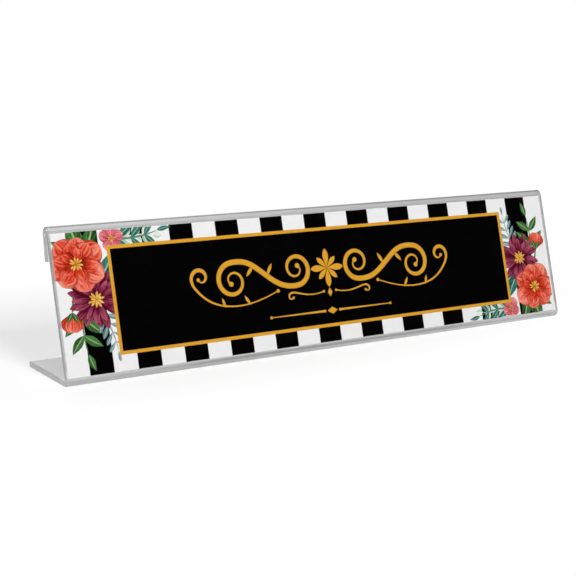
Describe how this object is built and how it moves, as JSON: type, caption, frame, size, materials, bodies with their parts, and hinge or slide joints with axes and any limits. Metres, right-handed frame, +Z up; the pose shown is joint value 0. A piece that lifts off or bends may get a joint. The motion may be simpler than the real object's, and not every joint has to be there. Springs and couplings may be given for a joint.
{
  "type": "desk name plate",
  "caption": "Free-standing desk name plate: a bent clear acrylic holder with a rear foot, a panel that leans back and a folded top lip, which shows a slide-in printed card.",
  "frame": {"origin": "on the desk, midway along the holder's width and midway between the front of its lower bend and the rear edge of its foot", "axes": "+X along the plate to the reader's right, +Y to the back, +Z up; the printed face looks towards -Y"},
  "size_m": [0.254, 0.04, 0.0602],
  "materials": {
    "clear_acrylic": "polished",
    "printed_card": "satin"
  },
  "bodies": {
    "holder": {"holder": "clear_acrylic"},
    "card": {"insert_card": "printed_card"}
  },
  "joints": [
    {"name": "card_slide", "type": "slide", "parent": "holder", "child": "card", "axis": [1, 0, 0], "range_m": [-0.26, 0.26]}
  ]
}
